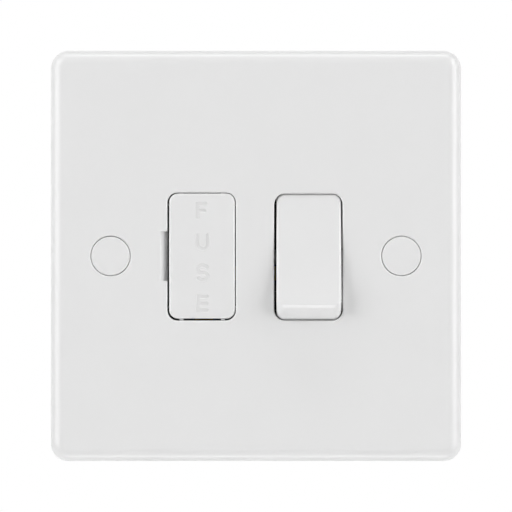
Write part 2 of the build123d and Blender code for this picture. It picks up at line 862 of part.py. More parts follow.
# Terminals: bored brass blocks, each with a clamping screw from behind
def terminal(x, side):
    with BuildPart() as block:
        with BuildSketch(level(floor_y)):
            with Locations((x, side * block_mid)):
                Rectangle(terminal_w, terminal_length)
        extrude(amount=terminal_depth)
        chamfer(block.edges().filter_by(Axis.Z), terminal_bevel)
        with BuildSketch(flat(side * block_z)):
            with Locations((x, bore_y)):
                Circle(bore_r)
        extrude(amount=side * terminal_length, mode=Mode.SUBTRACT)
        with BuildSketch(level(floor_y)):
            with Locations((x, side * block_mid)):
                Circle(screw_d / 2 + screw_play)
        extrude(amount=floor_y - bore_y, mode=Mode.SUBTRACT)
    return block.part


for name, (x, side) in terminals.items():
    save(terminal(x, side), name)

# Clamping screws, backed out as supplied
head_y = floor_y + screw_lift
with BuildPart() as terminal_screws:
    with BuildSketch(level(head_y)):
        with Locations(*terminal_points):
            Circle(screw_d / 2)
    extrude(amount=screw_length)
    with BuildSketch(level(head_y + screw_head)):
        with Locations(*terminal_points):
            Circle(screw_head_d / 2)
    extrude(amount=screw_head)
    with BuildSketch(level(head_y + screw_head)):
        with Locations(*terminal_points):
            Rectangle(screw_head_d, screw_slot)
    extrude(amount=screw_slot_depth, mode=Mode.SUBTRACT)
save(terminal_screws.part, "terminal_screws")

# Earth strap: a Z-shaped strip laid over the two earth terminals
with BuildPart() as earth_strap:
    with BuildSketch(level(block_y)):
        box(strap_left, strap_left + strap_w, -block_mid - strap_arm / 2, block_mid + strap_arm / 2)
        for name in ("supply_earth_terminal", "load_earth_terminal"):
            x, side = terminals[name]
            arm_z = side * block_mid
            box(x, strap_x, arm_z - strap_arm / 2, arm_z + strap_arm / 2)
            with Locations((x, arm_z)):
                Rectangle(strap_arm, strap_arm)
    extrude(amount=strap_t)
save(earth_strap.part, "earth_strap")

# Rear housing: one block with chambers, pockets and channels
with BuildPart() as rear_housing:
    with BuildSketch(level(back_y)):
        housing_outline(0)
    extrude(amount=back_y - inner_y)
    fillet(rear_housing.faces().sort_by(Axis.Y)[-1].edges(), housing_back_r)

    # Fuse chamber, with grooves for the carrier's barbs
    with BuildSketch(level(floor_y)):
        with Locations((fuse_x, 0)):
            Rectangle(chamber_w, fuse_chamber_h)
    extrude(amount=floor_y - inner_y, mode=Mode.SUBTRACT)
    groove_half = carrier_w / 2 + barb_reach + groove_gap
    with BuildSketch(level(leg_end_y + groove_gap)):
        for end in (-1, 1):
            with Locations((fuse_x, end * (barb_z + barb_w / 2))):
                Rectangle(2 * groove_half, barb_w + 2 * groove_gap)
    extrude(amount=leg_end_y + groove_gap - inner_y, mode=Mode.SUBTRACT)

    # Switch chamber: a swing space, then one channel for each pole
    with BuildSketch(level(swing_stop_y)):
        with Locations((switch_x, switch_z)):
            Rectangle(chamber_w, 2 * swing_half)
    extrude(amount=swing_stop_y - inner_y, mode=Mode.SUBTRACT)
    with BuildSketch(level(socket_floor_y)):
        with Locations((switch_x, switch_z)):
            Rectangle(chamber_w, 2 * pole_half_h)
    extrude(amount=socket_floor_y - inner_y, mode=Mode.SUBTRACT)
    with BuildSketch(level(floor_y)):
        for side in (-1, 1):
            with Locations((switch_x + side * pole_offset, switch_z)):
                Rectangle(pole_channel_w, 2 * pole_half_h)
    extrude(amount=floor_y - socket_floor_y, mode=Mode.SUBTRACT)

    # Stops under the lower end of each contact bar
    stop_top = switch_z - bar_half * cos(lean) + stop_length
    with BuildSketch(level(floor_y)):
        for x in (switch_x - barrier / 2 - stop_w, switch_x + barrier / 2):
            box(x, x + stop_w, stop_top - stop_length, stop_top)
        for x in (switch_x - chamber_w / 2, switch_x + chamber_w / 2 - stop_w):
            box(x, x + stop_w, stop_top - stop_length, stop_top)
    extrude(amount=floor_y - bar_stop_y)

    # Bearings for the rocker's pins, open to the front
    for side in (-1, 1):
        bearing_start = (switch_x + side * chamber_w / 2, 0, 0)
        with BuildSketch(Plane(origin=bearing_start, x_dir=(0, side, 0), z_dir=(side, 0, 0))):
            slot_r = pin_d / 2 + pin_play
            with Locations((side * pivot_y, switch_z)):
                Circle(slot_r)
            with Locations((side * (pivot_y + inner_y) / 2, switch_z)):
                Rectangle(pivot_y - inner_y, 2 * slot_r)
        extrude(amount=pin_reach, mode=Mode.SUBTRACT)

    # Terminal pockets, conductor entries and screw wells
    with BuildSketch(level(floor_y)):
        for x, side in terminals.values():
            box(
                x - terminal_w / 2 - pocket_gap,
                x + terminal_w / 2 + pocket_gap,
                side * pocket_z,
                side * pocket_end,
            )
    extrude(amount=floor_y - inner_y, mode=Mode.SUBTRACT)
    for side in (-1, 1):
        entry_points = [(x, bore_y) for x, end in terminals.values() if end == side]
        with BuildSketch(flat(side * pocket_end)):
            with Locations(*entry_points):
                Circle(bore_r + entry_room)
        extrude(amount=side * end_wall, mode=Mode.SUBTRACT)
        rims = rear_housing.edges().filter_by(GeomType.CIRCLE).group_by(Axis.Z)[-1 if side > 0 else 0]
        chamfer(rims, entry_bevel)
    with BuildSketch(level(back_y)):
        with Locations(*terminal_points):
            Circle(screw_head_d / 2 + well_gap)
    extrude(amount=back_wall, mode=Mode.SUBTRACT)

    # Channels for the strips, open to the front
    run = strip_w / 2 + channel_gap
    with BuildSketch(level(floor_y)):
        box(fuse_x - run, fuse_x + run, -fuse_half, -block_z)
        box(pole_xs[1] - run, pole_xs[1] + run, switch_z - pole_half_h + channel_gap, -block_z)
        for x in pole_xs:
            box(x - run, x + run, switch_z + pole_half_h - channel_gap, block_z)
        link_half = link_w / 2 + channel_gap
        box(fuse_x, pole_xs[0], link_z - link_half, link_z + link_half)
    extrude(amount=floor_y - inner_y, mode=Mode.SUBTRACT)

    # Channel for the earth strap
    with BuildSketch(level(block_y)):
        strap_edge = strap_arm / 2 + strap_gap
        with Locations((strap_x, 0)):
            Rectangle(strap_w + 2 * strap_gap, 2 * (block_mid + strap_edge))
        for name in ("supply_earth_terminal", "load_earth_terminal"):
            x, side = terminals[name]
            arm_z = side * block_mid
            box(x, strap_x, arm_z - strap_edge, arm_z + strap_edge)
    extrude(amount=block_y - inner_y, mode=Mode.SUBTRACT)

    # Recesses that core out the thick places from behind
    side_x = terminal_w / 2 + pocket_gap + core_wall
    web_edges = (web_left + core_wall, web_right - core_wall)
    core_z = half_h - core_wall
    with BuildSketch(level(back_y)) as cores:
        box(fuse_x + side_x, live_x - side_x, pocket_z, core_z)
        box(fuse_x + side_x, earth_low_x - side_x, -core_z, -pocket_z)
        box(earth_low_x + side_x, neutral_x - side_x, -core_z, -pocket_z)
        box(*web_edges, link_z + link_half + core_wall, pocket_z - core_wall)
        box(*web_edges, core_wall - pocket_z, link_z - link_half - core_wall)
        fillet(cores.vertices(), core_r)
    extrude(amount=back_y - block_y - core_wall, mode=Mode.SUBTRACT)

    # Sockets for the plate's posts, with screw holes and wells behind
    with BuildSketch(level(post_end + hold_gap)):
        with Locations(*post_points):
            Circle(socket_r)
    extrude(amount=post_end + hold_gap - inner_y, mode=Mode.SUBTRACT)
    with BuildSketch(level(back_y)):
        with Locations(*post_points):
            Circle(fastener_hole_d / 2)
    extrude(amount=back_y - post_end, mode=Mode.SUBTRACT)
    with BuildSketch(level(back_y)):
        with Locations(*post_points):
            Circle(fastener_well_d / 2)
    extrude(amount=fastener_sink + fastener_head, mode=Mode.SUBTRACT)
save(rear_housing.part, "rear_housing")

# Assembly screws, from behind into the plate's posts
seat_y = back_y - fastener_sink - fastener_head
with BuildPart() as assembly_screws:
    with BuildSketch(level(seat_y)):
        with Locations(*post_points):
            Circle(fastener_d / 2)
    extrude(amount=fastener_length)
    with BuildSketch(level(seat_y + fastener_head)):
        with Locations(*post_points):
            Circle(fastener_head_d / 2)
    extrude(amount=fastener_head)
    with BuildSketch(level(seat_y + fastener_head)):
        with Locations(*post_points):
            Rectangle(cross_l, cross_w)
            Rectangle(cross_w, cross_l)
    extrude(amount=cross_depth, mode=Mode.SUBTRACT)
save(assembly_screws.part, "assembly_screws")
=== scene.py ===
# %% [markdown]
# # A fused spur unit
# A square white wall plate with a rocker switch and a small drawer for a cartridge fuse. The solids come
# from the CAD frame at their real size, so this lesson is about light, finishes, engraved lettering and
# small fasteners.

import json
import math

import bmesh
import bpy
from mathutils import Matrix, Vector


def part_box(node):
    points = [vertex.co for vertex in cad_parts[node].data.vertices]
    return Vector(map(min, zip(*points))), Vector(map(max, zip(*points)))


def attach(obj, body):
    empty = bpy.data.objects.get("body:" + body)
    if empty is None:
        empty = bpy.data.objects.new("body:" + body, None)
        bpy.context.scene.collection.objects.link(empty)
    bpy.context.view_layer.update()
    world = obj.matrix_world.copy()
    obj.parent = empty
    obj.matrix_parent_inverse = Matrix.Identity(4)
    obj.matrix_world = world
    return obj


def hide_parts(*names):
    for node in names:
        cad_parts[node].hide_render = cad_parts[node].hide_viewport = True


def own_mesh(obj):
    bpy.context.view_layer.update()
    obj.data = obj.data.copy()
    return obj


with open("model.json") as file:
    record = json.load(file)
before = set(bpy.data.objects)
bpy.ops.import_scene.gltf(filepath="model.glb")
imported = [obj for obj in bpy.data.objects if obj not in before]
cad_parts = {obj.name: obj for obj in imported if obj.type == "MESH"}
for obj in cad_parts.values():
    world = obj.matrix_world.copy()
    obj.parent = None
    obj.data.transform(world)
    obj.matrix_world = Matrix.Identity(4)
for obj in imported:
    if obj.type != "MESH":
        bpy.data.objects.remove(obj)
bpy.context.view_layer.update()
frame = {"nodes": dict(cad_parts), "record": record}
nodes = frame["nodes"]
joints = {joint["name"]: joint for joint in frame["record"]["behaviour"]["joints"]}
MM = 0.001

plate_low, plate_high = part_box("front_plate")
face_y = plate_low.y
back_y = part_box("rear_housing")[1].y
print("nodes", len(nodes), "plate", round((plate_high.x - plate_low.x) / MM, 2), "mm wide")

# %% [markdown]
# ## Three helpers
# Colours are written as the sRGB hex values that a colour picker shows. Blender shades in linear light,
# so one function converts them by the sRGB formula. A second function adds a node with its settings,
# values and links in one line, which keeps the node trees below readable. A third puts a mesh, lamp or
# camera into the scene.

# %% Helpers


def colour(code):
    """An sRGB hex value as linear RGBA."""
    steps = [int(code[i : i + 2], 16) / 255 for i in (1, 3, 5)]
    linear = [s / 12.92 if s <= 0.04045 else ((s + 0.055) / 1.055) ** 2.4 for s in steps]
    return (*linear, 1.0)


def add(tree, kind, inputs=None, **settings):
    """Adds one node; an input value that is a socket is linked, any other is set."""
    node = tree.nodes.new(kind)
    for name, value in settings.items():
        setattr(node, name, value)
    for name, value in (inputs or {}).items():
        if isinstance(value, bpy.types.NodeSocket):
            tree.links.new(value, node.inputs[name])
        else:
            node.inputs[name].default_value = value
    return node


def place(name, data):
    """Puts a mesh, lamp or camera into the scene as an object at the origin."""
    made = bpy.data.objects.new(name, data)
    bpy.context.scene.collection.objects.link(made)
    return made


print("a mid grey in linear light", round(colour("#808080")[0], 3))

# %% [markdown]
# ## Camera
# The picture is taken square on. The two fixing holes are 60.3 mm apart and cover 290.9 pixels of a 512
# pixel frame, so the lens follows from the camera's distance. A long lens keeps the sides of the plate
# nearly hidden.

# %% Camera
FRAME_PIXELS = 512
FIXING_PITCH = 60.3 * MM
FIXING_PIXELS = 290.9
SENSOR_MM = 36.0
CAMERA_DISTANCE = 0.670

pixels_per_metre = FIXING_PIXELS / FIXING_PITCH
camera_data = bpy.data.cameras.new("camera")
camera_data.sensor_width = SENSOR_MM
camera_data.lens = pixels_per_metre * CAMERA_DISTANCE / FRAME_PIXELS * SENSOR_MM
camera = place("camera", camera_data)
camera.location = (0, face_y - CAMERA_DISTANCE, 0)
camera.rotation_euler = (math.radians(90), 0, 0)
bpy.context.scene.camera = camera
bpy.context.scene.view_settings.view_transform = "Standard"
print("lens", round(camera_data.lens, 1), "mm")

# %% [markdown]
# ## World
# The world is white to the camera and in reflections, and much softer as a light, so the background is
# clean without more light on the object. A Light Path node tells the two apart, and the floor below uses
# it again.

# %% World
WORLD_LIGHT = 0.02
WHITE_LIGHT = 1.0


def seen_directly(tree):
    """A socket that is 1 for rays of the camera, of mirrors and through clear things, and otherwise 0."""
    path = add(tree, "ShaderNodeLightPath").outputs
    straight = add(
        tree,
        "ShaderNodeMath",
        {0: path["Is Camera Ray"], 1: path["Is Transmission Ray"]},
        operation="MAXIMUM",
    )
    seen = add(
        tree,
        "ShaderNodeMath",
        {0: straight.outputs[0], 1: path["Is Glossy Ray"]},
        operation="MAXIMUM",
    )
    return seen.outputs[0]


world = bpy.data.worlds.new("studio")
bpy.context.scene.world = world
world.use_nodes = True
sky = world.node_tree
sky.nodes.clear()
seen = seen_directly(sky)
soft = add(sky, "ShaderNodeBackground", {"Color": colour("#ffffff"), "Strength": WORLD_LIGHT})
white = add(sky, "ShaderNodeBackground", {"Color": colour("#ffffff"), "Strength": WHITE_LIGHT})
mix = add(sky, "ShaderNodeMixShader", {0: seen, 1: soft.outputs[0], 2: white.outputs[0]})
add(sky, "ShaderNodeOutputWorld", {"Surface": mix.outputs[0]})
print("world", len(sky.nodes), "nodes")

# %% [markdown]
# ## Floor
# The floor lies at the height of a room floor below a socket, out of the picture. It is one plain sheet
# that takes the shadow, and it gets its paper further down.

# %% Floor
FLOOR_DROP = 0.45
FLOOR_HALF = 3.0

floor_z = plate_low.z - FLOOR_DROP
corners = [(-1, -1), (1, -1), (1, 1), (-1, 1)]
floor_mesh = bpy.data.meshes.new("floor")
floor_mesh.from_pydata([(x * FLOOR_HALF, y * FLOOR_HALF, floor_z) for x, y in corners], [], [(0, 1, 2, 3)])
floor = place("floor", floor_mesh)
print("floor", round(floor_z, 3), "m")

# %% [markdown]
# ## Lamps
# The rounded edges of the plate shine in broad bands to the left and right, in a narrower band along the
# top and faintly along the bottom. Each band is the reflection of a soft panel, and the normal in the
# middle of the band tells where that panel stands: the sides 61 degrees off the camera's line, the top
# 80, the bottom 77. The side panels stand a little high, which lets the face darken towards its lower
# edge. Two more panels behind the wall plane light the back for the views from there; reflections leave
# them out, so they put no white line on the plate's rim. Distances and sizes are in metres, power in
# watts.

# %% Lamps
SIDE_RISE = 0.28


def panel(name, angle, up, reach, size, watts):
    """A soft rectangular lamp that faces the plate, off the camera's line by an angle to the side or up."""
    turn = math.radians(angle)
    off = reach * math.sin(turn)
    near = face_y - reach * math.cos(turn)
    spot = Vector((0, near, off)) if up else Vector((off, near, SIDE_RISE))
    data = bpy.data.lights.new(name, "AREA")
    data.shape = "RECTANGLE"
    data.size, data.size_y = size
    data.energy = watts
    lamp = place(name, data)
    lamp.location = spot
    lamp.rotation_euler = (Vector((0, face_y, 0)) - spot).to_track_quat("-Z", "Y").to_euler()
    print("lamp", name, watts, "W")
    return lamp


panel("side_left", angle=-61, up=False, reach=0.9, size=(0.7, 1.0), watts=8.75)
panel("side_right", angle=61, up=False, reach=0.9, size=(0.7, 1.0), watts=8.75)
panel("overhead", angle=80, up=True, reach=0.9, size=(0.9, 0.15), watts=2.5)
panel("underneath", angle=-77, up=True, reach=0.45, size=(0.3, 0.02), watts=0.44)
for name, angle in (("rear_left", -160), ("rear_right", 160)):
    lamp = panel(name, angle=angle, up=False, reach=0.9, size=(0.5, 0.7), watts=4.2)
    lamp.visible_glossy = False

# %% [markdown]
# ## Finishes
# Every finish starts from the real material and how its surface was made. One function builds them all:
# soft patches of two shades and two levels of roughness at a real width, and a fine bump at a real width
# and height. A stretch draws the pattern out along one axis, which turns patches into the lines of a
# drawn or rolled metal. With roughness from 0.25 to 0.31 the white resin showed faint patches with hard
# edges in the denoised picture, and from 0.28 to 0.31 it shows none, so each span keeps to one side of
# about 0.27.

# %% Finish function
PATCH_DETAIL = 3.0
GRAIN_DETAIL = 2.0
# sockets of a Mix node that mixes colours
MIX_SHARE = 0
MIX_FIRST = 6
MIX_SECOND = 7
MIX_RESULT = 2


def finish(name, shades, rough, patch, grain, metallic=0.0, ior=1.5, stretch=(1, 1, 1)):
    """A procedural material; patch is a width and grain a width and a height, all in millimetres."""
    made = bpy.data.materials.new(name)
    made.use_nodes = True
    tree = made.node_tree
    shader = tree.nodes["Principled BSDF"]
    shader.inputs["Metallic"].default_value = metallic
    if not metallic:
        shader.inputs["IOR"].default_value = ior
    where = add(tree, "ShaderNodeTexCoord")
    lie = add(tree, "ShaderNodeMapping", {"Vector": where.outputs["Object"], "Scale": stretch})
    patches = add(
        tree,
        "ShaderNodeTexNoise",
        {"Vector": lie.outputs[0], "Scale": 1 / (patch * MM), "Detail": PATCH_DETAIL},
    )
    shade = add(
        tree,
        "ShaderNodeMix",
        {MIX_SHARE: patches.outputs["Fac"], MIX_FIRST: colour(shades[0]), MIX_SECOND: colour(shades[1])},
        data_type="RGBA",
    )
    tree.links.new(shade.outputs[MIX_RESULT], shader.inputs["Base Color"])
    gloss = add(
        tree,
        "ShaderNodeMapRange",
        {"Value": patches.outputs["Fac"], "To Min": rough[0], "To Max": rough[1]},
    )
    tree.links.new(gloss.outputs[0], shader.inputs["Roughness"])
    fine = add(
        tree,
        "ShaderNodeTexNoise",
        {"Vector": lie.outputs[0], "Scale": 1 / (grain[0] * MM), "Detail": GRAIN_DETAIL},
    )
    bump = add(
        tree,
        "ShaderNodeBump",
        {"Height": fine.outputs["Fac"], "Distance": grain[1] * MM, "Strength": 1.0},
    )
    tree.links.new(bump.outputs[0], shader.inputs["Normal"])
    print("finish", name)
    return made


def dress(material, *names):
    """Gives CAD nodes a finish."""
    for name in names:
        nodes[name].data.materials.clear()
        nodes[name].data.materials.append(material)


print("nodes to dress", len(nodes))

# %% [markdown]
# ## Floor paper
# The floor is matt pale paper. Most of what the camera and reflections see of it is plain white, so it
# runs into the white world without a horizon; the rest is real paper that still takes the object's
# shadow.

# %% Floor paper
FLOOR_WHITE = 0.8

# dull, with a soft tooth that scatters the light
paper = finish("paper_matt_pale", ("#eaeaea", "#eeeeee"), rough=(0.8, 0.9), patch=40, grain=(2, 0.02))
sheet = paper.node_tree
part = add(sheet, "ShaderNodeMath", {0: seen_directly(sheet), 1: FLOOR_WHITE}, operation="MULTIPLY")
glow = add(sheet, "ShaderNodeEmission", {"Color": colour("#ffffff"), "Strength": WHITE_LIGHT})
surface = sheet.nodes["Principled BSDF"].outputs[0]
mix = add(sheet, "ShaderNodeMixShader", {0: part.outputs[0], 1: surface, 2: glow.outputs[0]})
sheet.links.new(mix.outputs[0], sheet.nodes["Material Output"].inputs["Surface"])
floor_mesh.materials.append(paper)
print("floor paper", len(sheet.nodes), "nodes")

# %% [markdown]
# ## Mouldings
# The plate, covers, drawer and rocker are pressed from white urea resin in polished moulds. The rear
# housing is a black phenolic: the gaps in front look black because it stands behind them. The flash on
# the rocker is red polycarbonate, and the plungers are natural nylon.

# %% Mouldings
# satin gloss with a barely visible ripple and no grain
urea_white = finish(
    "urea_resin_pressed_white",
    ("#dbdbdb", "#dddddd"),
    rough=(0.28, 0.31),
    patch=9,
    grain=(1.2, 0.002),
    ior=1.55,
)
# a faint mottle from the filler, and a duller skin
phenolic = finish(
    "phenolic_pressed_black",
    ("#252526", "#323232"),
    rough=(0.42, 0.58),
    patch=0.9,
    grain=(0.25, 0.006),
    ior=1.6,
)
# clean and even, a signal red
red_flash = finish(
    "polycarbonate_moulded_red",
    ("#a80f0c", "#b41511"),
    rough=(0.34, 0.42),
    patch=4,
    grain=(0.8, 0.002),
    ior=1.58,
)
# a waxy cream
nylon = finish(
    "nylon_moulded_natural",
    ("#e2dcc9", "#ece7d8"),
    rough=(0.4, 0.5),
    patch=1.5,
    grain=(0.3, 0.003),
    ior=1.53,
)

dress(urea_white, "front_plate", "screw_cap_left", "screw_cap_right", "fuse_carrier", "rocker")
dress(phenolic, "rear_housing")
dress(red_flash, "on_flash")
dress(nylon, "live_plunger", "neutral_plunger")

# %% [markdown]
# ## Metals and ceramic
# The terminal blocks are sawn from drawn brass bar. Strips and contact bars are rolled brass, clips are
# springy bronze. Contact tips are silver, fuse caps nickel plated, screws zinc plated, springs drawn
# wire. The fuse body is unglazed ceramic. The lines of the drawn and rolled metals are wider than real
# ones, so that they show.

# %% Brass and bronze
# bright yellow with fine lines along the bar
brass_bar = finish(
    "brass_drawn_bar",
    ("#bf9850", "#d3ae68"),
    rough=(0.28, 0.38),
    patch=0.35,
    grain=(0.15, 0.004),
    metallic=1.0,
    stretch=(1, 1, 0.08),
)
# duller and a little darker than the bar, with the lines of the rolls
brass_strip = finish(
    "brass_rolled_strip",
    ("#b3904c", "#c29d58"),
    rough=(0.44, 0.54),
    patch=0.5,
    grain=(0.2, 0.003),
    metallic=1.0,
    stretch=(0.3, 1, 0.1),
)
# a little redder than brass
bronze = finish(
    "phosphor_bronze_rolled",
    ("#a97d4c", "#bb8e5e"),
    rough=(0.36, 0.46),
    patch=0.5,
    grain=(0.2, 0.002),
    metallic=1.0,
    stretch=(1, 0.1, 1),
)

blocks = [name for name in nodes if name.endswith("_terminal")]
strips = [name for name in nodes if name.endswith(("_strip", "_contact_bar", "_strap"))]
dress(brass_bar, *blocks)
dress(brass_strip, "clip_rivets", *strips)
dress(bronze, "fuse_clip_upper", "fuse_clip_lower")
print("blocks", len(blocks), "strips", len(strips))

# %% Pale metals and ceramic
# white metal with a trace of tarnish
silver = finish(
    "silver_coined",
    ("#cfccc6", "#e2e0dc"),
    rough=(0.28, 0.4),
    patch=0.7,
    grain=(0.2, 0.003),
    metallic=1.0,
)
# warm and glossy
nickel = finish(
    "nickel_plated_cap",
    ("#c6c1b8", "#d6d2ca"),
    rough=(0.14, 0.24),
    patch=0.6,
    grain=(0.2, 0.001),
    metallic=1.0,
)
# slightly blue and cloudy
zinc = finish(
    "steel_zinc_plated",
    ("#aeb4ba", "#c6c8c4"),
    rough=(0.28, 0.4),
    patch=1.1,
    grain=(0.2, 0.003),
    metallic=1.0,
)
# dark grey with a soft shine
wire = finish(
    "spring_steel_drawn",
    ("#7f8286", "#989b9f"),
    rough=(0.28, 0.36),
    patch=0.4,
    grain=(0.1, 0.001),
    metallic=1.0,
)
# a dry, chalky off-white
ceramic = finish(
    "ceramic_fired_unglazed",
    ("#dfd7c4", "#e9e2d2"),
    rough=(0.55, 0.7),
    patch=0.8,
    grain=(0.2, 0.004),
    ior=1.6,
)

dress(silver, "fixed_contact_tips", "live_bar_tip", "neutral_bar_tip")
dress(nickel, "fuse_cap_upper", "fuse_cap_lower")
dress(zinc, "terminal_screws", "assembly_screws")
dress(wire, "live_spring", "neutral_spring")
dress(ceramic, "fuse_body")

# %% [markdown]
# ## Strokes for engraved marks
# Such lettering goes back to a round cutter in the mould maker's shop, so each stroke has an even width,
# a flat bottom and round ends. Here a stroke is a line of points; its outline is stepped off to both
# sides and closed with two half circles. Rings of that outline, wider at the surface, make a cutter with
# a rounded lip. Text objects would bring a typeface with them; strokes give the plain form of the real
# marks.

# %% Stroke outlines
ARC_STEPS = 14
CAP_STEPS = 8
MITRE_LIMIT = 0.5


def arc(centre, radii, start, end):
    """Points on an ellipse between two angles in degrees, across and up."""
    angles = [math.radians(start + (end - start) * i / ARC_STEPS) for i in range(ARC_STEPS + 1)]
    return [(centre[0] + radii[0] * math.cos(a), centre[1] + radii[1] * math.sin(a)) for a in angles]


def outline(points, half):
    """The closed outline of a stroke, with mitred corners and round ends."""
    line = [Vector(p) for p in points]
    runs = [(b - a).normalized() for a, b in zip(line, line[1:])]
    sides = []
    for i, point in enumerate(line):
        before = runs[max(i - 1, 0)]
        after = runs[min(i, len(runs) - 1)]
        across = Vector((-before.y - after.y, before.x + after.x)).normalized()
        reach = half / max(across.dot(Vector((-before.y, before.x))), MITRE_LIMIT)
        sides.append((point + across * reach, point - across * reach))

    def cap(point, way):
        start = math.atan2(way.y, way.x) + math.pi / 2
        turns = [start - math.pi * k / CAP_STEPS for k in range(1, CAP_STEPS)]
        return [point + Vector((math.cos(t), math.sin(t))) * half for t in turns]

    left = [pair[0] for pair in sides]
    right = [pair[1] for pair in reversed(sides)]
    return left + cap(line[-1], runs[-1]) + right + cap(line[0], -runs[0])


print("a straight stroke has", len(outline([(0, 0), (1, 0)], 1)), "points")

# %% Stroke cutters
LIP_ANGLES = (15, 40, 65, 90)
CUTTER_RISE = 1.0


def prism(work, rings, centre, mirror):
    """Adds a closed prism to a bmesh, from rings of an outline in millimetres, each at a depth in metres."""
    loops = []
    for shape, depth in rings:
        spots = [(centre[0] + mirror * p.x * MM, depth, centre[1] + p.y * MM) for p in shape]
        loops.append([work.verts.new(spot) for spot in spots])
    work.faces.new(loops[0])
    work.faces.new(loops[-1][::-1])
    for upper, lower in zip(loops, loops[1:]):
        for i in range(len(upper)):
            j = (i + 1) % len(upper)
            work.faces.new((upper[i], lower[i], lower[j], upper[j]))


def strokes_cutter(marks, half, depth, lip, surface, inward, mirror):
    """Prisms for marks sunk into a surface; each mark has a centre in millimetres and its strokes."""
    steps = []
    for tilt in [math.radians(a) for a in LIP_ANGLES]:
        wide = half + lip * (1 - math.sin(tilt))
        steps.append((wide, surface + inward * lip * (1 - math.cos(tilt)) * MM))
    top = (steps[0][0], surface - inward * CUTTER_RISE * MM)
    bottom = (half, surface + inward * depth * MM)
    work = bmesh.new()
    for centre, strokes in marks:
        for stroke in strokes:
            rings = [(outline(stroke, wide), y) for wide, y in [top, *steps, bottom]]
            prism(work, rings, [c * MM for c in centre], mirror)
    print("strokes", sum(len(strokes) for centre, strokes in marks))
    return work


print("lip in", len(LIP_ANGLES), "steps")

# %% [markdown]
# ## Copies and cuts
# A CAD node is left alone. What needs a cut is a copy of it: its loose triangles are merged, a Boolean
# modifier takes the cutters out, and a Weighted Normal modifier lets the large flats rule the shading, so
# they stay flat up to the lip of a cut. The strokes of a mark overlap, so the Boolean is told to allow
# for that. The finished copy takes the node's place on its body.

# %% Copies and cuts
SHARP_ANGLE = math.radians(32)
FLAT_ANGLE = math.radians(0.05)
MERGE_DISTANCE = 1e-7


def remade(body):
    """The mesh of an object with its modifiers applied, which are then removed."""
    made = bpy.data.meshes.new_from_object(body.evaluated_get(bpy.context.evaluated_depsgraph_get()))
    body.modifiers.clear()
    body.data = made
    return made


def merged(node):
    """A copy of a CAD node's mesh with its loose triangles joined."""
    mesh = nodes[node].data.copy()
    if "custom_normal" in mesh.attributes:
        mesh.attributes.remove(mesh.attributes["custom_normal"])
    work = bmesh.new()
    work.from_mesh(mesh)
    bmesh.ops.remove_doubles(work, verts=work.verts, dist=MERGE_DISTANCE)
    bmesh.ops.dissolve_limit(work, angle_limit=FLAT_ANGLE, verts=work.verts, edges=work.edges)
    work.to_mesh(mesh)
    work.free()
    return mesh


def smooth(mesh):
    """Shades a mesh smooth up to its sharp edges."""
    mesh.shade_smooth()
    mesh.set_sharp_from_angle(angle=SHARP_ANGLE)


def stand_in(piece, material, body, node):
    """Gives a finished piece its material, and puts it on a body in the place of a CAD node."""
    piece.data.materials.clear()
    piece.data.materials.append(material)
    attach(piece, body)
    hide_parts(node)
    print(piece.name, "faces", len(piece.data.polygons))


def carve(name, node, cutters, material, body):
    """Stands a copy of a CAD node in its place, with the shapes in a bmesh cut out of it."""
    bmesh.ops.recalc_face_normals(cutters, faces=cutters.faces)
    cutter_mesh = bpy.data.meshes.new(name + "_cutter")
    cutters.to_mesh(cutter_mesh)
    cutters.free()
    cutter = place(name + "_cutter", cutter_mesh)

    carved = place(name, merged(node))
    cut = carved.modifiers.new("cut", "BOOLEAN")
    cut.operation = "DIFFERENCE"
    cut.solver = "EXACT"
    cut.use_self = True
    cut.object = cutter
    smooth(remade(carved))
    bpy.data.objects.remove(cutter)
    even = carved.modifiers.new("even_flats", "WEIGHTED_NORMAL")
    even.keep_sharp = True
    remade(carved)
    stand_in(carved, material, body, node)


print("edges are sharp from", round(math.degrees(SHARP_ANGLE)), "degrees")

# %% [markdown]
# ## Lettering on the fuse drawer
# The drawer's face carries its plain function word, one letter below the other, sunk a seventh of a
# millimetre. In front light the strokes look only a little darker than the face, because their walls keep
# some of the light off. A bump in the finish would be missing from the exported mesh, so the letters are
# cut. F and E are placed by the middle of their stems, U and S by their own middles, in millimetres.

# %% Lettering on the drawer
LETTER_HALF_STROKE = 0.33
LETTER_DEPTH = 0.14
LETTER_LIP = 0.1
LETTER_TOP = 1.43
LETTER_ROUND = 1.02
LETTER_PLACES = {"F": (-12.11, 9.40), "U": (-11.08, 2.87), "S": (-11.08, -3.47), "E": (-12.00, -9.85)}
F_ARM = 1.66
F_BAR = 1.43
F_BAR_UP = -0.05
E_ARM = 1.86
E_BAR = 1.76
S_OVERSHOOT = 0.08
S_MOUTH = 30

foot = LETTER_ROUND - LETTER_TOP
bowl_up = (LETTER_TOP + S_OVERSHOOT) / 2
bowl = (LETTER_ROUND, bowl_up)
u_turn = arc((0, foot), (LETTER_ROUND, LETTER_ROUND), 180, 360)
s_turns = arc((0, bowl_up), bowl, S_MOUTH, 270) + arc((0, -bowl_up), bowl, 90, S_MOUTH - 180)[1:]
letter_strokes = {
    "F": [
        [(F_ARM, LETTER_TOP), (0, LETTER_TOP), (0, -LETTER_TOP)],
        [(0, F_BAR_UP), (F_BAR, F_BAR_UP)],
    ],
    "U": [[(-LETTER_ROUND, LETTER_TOP), *u_turn, (LETTER_ROUND, LETTER_TOP)]],
    "S": [s_turns],
    "E": [
        [(E_ARM, LETTER_TOP), (0, LETTER_TOP), (0, -LETTER_TOP), (E_ARM, -LETTER_TOP)],
        [(0, 0), (E_BAR, 0)],
    ],
}
word = [(LETTER_PLACES[letter], letter_strokes[letter]) for letter in "FUSE"]
letters = strokes_cutter(word, LETTER_HALF_STROKE, LETTER_DEPTH, LETTER_LIP, face_y, inward=1, mirror=1)
